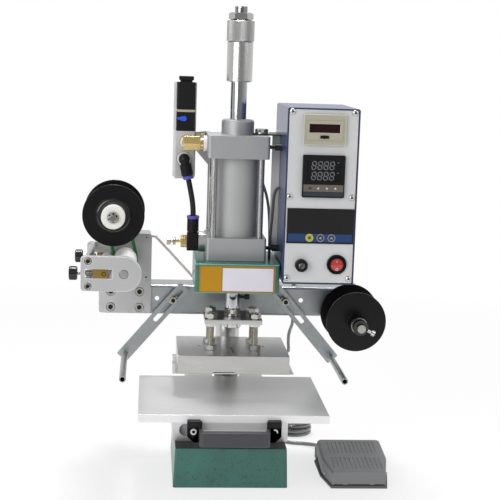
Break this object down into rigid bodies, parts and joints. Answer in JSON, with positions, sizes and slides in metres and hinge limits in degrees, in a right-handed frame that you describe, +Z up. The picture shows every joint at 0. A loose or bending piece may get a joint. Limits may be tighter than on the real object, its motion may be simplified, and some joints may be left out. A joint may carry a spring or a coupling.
{
  "type": "pneumatic hot foil stamping press",
  "caption": "Bench-top pneumatic hot foil stamping press with heated platen on a ram, sliding table, powered foil feed, control box and foot switch.",
  "frame": {"origin": "on the underside of the base, below the ram axis", "axes": "+Z up along the ram axis, -Y towards the operator, +X to the operator's right"},
  "size_m": [0.3843, 0.341, 0.5583],
  "materials": {
    "green_paint": "green hammertone paint",
    "aluminium": "machined",
    "steel": "bright zinc or ground",
    "chrome": "polished",
    "galvanised": "galvanised sheet",
    "grey_paint": "light grey paint",
    "navy_paint": "dark blue grey paint",
    "panel_grey": "pale grey paint",
    "black_plastic": "moulded",
    "dark_plastic": "moulded",
    "grey_plastic": "moulded",
    "blue_plastic": "moulded",
    "white_rubber": "ground roller",
    "green_belt": "round urethane",
    "brass": "turned",
    "cord": "cord jacket"
  },
  "bodies": {
    "frame": {"base_casting": "green_paint", "slide_block": "aluminium", "column": "chrome", "head_casting": "green_paint", "crossbar": "galvanised", "frame_bolts": "steel", "lower_cap": "aluminium", "cylinder_tube": "aluminium", "top_cap": "aluminium", "tie_rods": "steel", "control_case": "navy_paint", "control_panel": "panel_grey", "counter_body": "black_plastic", "temp_controller": "black_plastic", "box_bracket": "galvanised", "valve_body": "aluminium", "valve_coil": "black_plastic", "brass_elbow": "brass", "push_elbow": "black_plastic", "flow_valve": "black_plastic", "air_tube": "black_plastic", "feed_back_plate": "grey_paint", "feed_front_plate": "grey_paint", "feed_spacers": "steel", "feed_motor": "aluminium", "wire_leads": "cord", "heater_cable": "cord", "pedal_base": "grey_plastic", "pedal_cord": "cord", "pedal_hank": "cord", "cord_glands": "black_plastic", "drive_belt": "green_belt", "supply_shaft": "steel"},
    "ram": {"piston_rod": "chrome", "ram_nuts": "steel", "stud_plate": "steel", "platen_studs": "steel", "heater_platen": "aluminium", "die_plate": "aluminium"},
    "adjuster": {"stroke_adjuster": "aluminium"},
    "table": {"worktable": "aluminium", "carriage_plate": "aluminium", "table_handle": "dark_plastic"},
    "drive": {"drive_roller": "white_rubber"},
    "take_up": {"take_up_reel": "black_plastic"},
    "pinch_carrier": {"pinch_slider": "brass"},
    "pinch": {"pinch_roller": "white_rubber"},
    "knob_front": {"front_knob": "black_plastic"},
    "knob_rear": {"rear_knob": "black_plastic"},
    "supply": {"supply_reel": "black_plastic"},
    "arm_left": {"left_arm": "galvanised"},
    "arm_right": {"right_arm": "galvanised"},
    "rocker": {"rocker_switch": "black_plastic"},
    "fuse": {"fuse_cap": "black_plastic"},
    "button_set": {"set_timer_button": "grey_plastic"},
    "button_left": {"left_timer_button": "grey_plastic"},
    "button_right": {"right_timer_button": "grey_plastic"},
    "reset": {"counter_reset": "grey_plastic"},
    "override": {"valve_override": "blue_plastic"},
    "pedal": {"foot_pedal": "grey_plastic"}
  },
  "joints": [
    {"name": "ram_slide", "type": "slide", "parent": "frame", "child": "ram", "axis": [0, 0, 1], "range_m": [-0.024, 0], "deforming": ["heater_cable"]},
    {"name": "adjuster_turn", "type": "hinge", "parent": "ram", "child": "adjuster", "pos_m": [0, 0, 0.5], "axis": [0, 0, 1], "range_deg": [-180, 180]},
    {"name": "table_slide", "type": "slide", "parent": "frame", "child": "table", "axis": [0, 1, 0], "range_m": [-0.06, 0.018]},
    {"name": "drive_turn", "type": "hinge", "parent": "frame", "child": "drive", "pos_m": [-0.1285, 0, 0.2548], "axis": [0, 1, 0], "continuous": true},
    {"name": "take_up_turn", "type": "hinge", "parent": "frame", "child": "take_up", "pos_m": [-0.1422, 0, 0.3152], "axis": [0, 1, 0], "continuous": true},
    {"name": "pinch_slide", "type": "slide", "parent": "frame", "child": "pinch_carrier", "axis": [-1, 0, 0], "range_m": [0, 0.002], "stiffness_N_per_m": 2000, "springref_m": -0.002},
    {"name": "pinch_turn", "type": "hinge", "parent": "pinch_carrier", "child": "pinch", "pos_m": [-0.1508, 0, 0.2548], "axis": [0, 1, 0], "continuous": true},
    {"name": "front_knob_turn", "type": "hinge", "parent": "frame", "child": "knob_front", "pos_m": [-0.18, -0.061, 0.2548], "axis": [1, 0, 0], "range_deg": [-180, 180]},
    {"name": "rear_knob_turn", "type": "hinge", "parent": "frame", "child": "knob_rear", "pos_m": [-0.18, 0.057, 0.2548], "axis": [1, 0, 0], "range_deg": [-180, 180]},
    {"name": "supply_turn", "type": "hinge", "parent": "frame", "child": "supply", "pos_m": [0.149, 0.025, 0.191], "axis": [0, 1, 0], "continuous": true},
    {"name": "left_arm_swing", "type": "hinge", "parent": "frame", "child": "arm_left", "pos_m": [-0.0695, 0.0525, 0.203], "axis": [0, 1, 0], "range_deg": [-20, 8]},
    {"name": "right_arm_swing", "type": "hinge", "parent": "frame", "child": "arm_right", "pos_m": [0.0695, 0.0525, 0.203], "axis": [0, 1, 0], "range_deg": [-8, 20]},
    {"name": "rocker_tilt", "type": "hinge", "parent": "frame", "child": "rocker", "pos_m": [0.1126, -0.0652, 0.2709], "axis": [1, 0, 0], "range_deg": [-9, 9]},
    {"name": "fuse_cap_turn", "type": "hinge", "parent": "frame", "child": "fuse", "pos_m": [0.0719, -0.0662, 0.2696], "axis": [0, 1, 0], "range_deg": [0, 60]},
    {"name": "set_button_press", "type": "slide", "parent": "frame", "child": "button_set", "axis": [0, 1, 0], "range_m": [0, 0.0015], "stiffness_N_per_m": 200, "springref_m": -0.001},
    {"name": "left_button_press", "type": "slide", "parent": "frame", "child": "button_left", "axis": [0, 1, 0], "range_m": [0, 0.0015], "stiffness_N_per_m": 200, "springref_m": -0.001},
    {"name": "right_button_press", "type": "slide", "parent": "frame", "child": "button_right", "axis": [0, 1, 0], "range_m": [0, 0.0015], "stiffness_N_per_m": 200, "springref_m": -0.001},
    {"name": "reset_press", "type": "slide", "parent": "frame", "child": "reset", "axis": [0, 1, 0], "range_m": [0, 0.0012], "stiffness_N_per_m": 200, "springref_m": -0.001},
    {"name": "override_turn", "type": "hinge", "parent": "frame", "child": "override", "pos_m": [-0.0626, 0.012, 0.4275], "axis": [0, 1, 0], "range_deg": [-90, 0]},
    {"name": "pedal_press", "type": "hinge", "parent": "frame", "child": "pedal", "pos_m": [0.153, -0.027, 0.009], "axis": [-1, 0, 0], "range_deg": [0, 6], "stiffness_Nm_per_rad": 3, "springref_deg": -2.86}
  ],
  "couplings": [
    {"joint": "take_up_turn", "follows": "drive_turn", "ratio": 1},
    {"joint": "pinch_turn", "follows": "drive_turn", "ratio": -1.75}
  ]
}
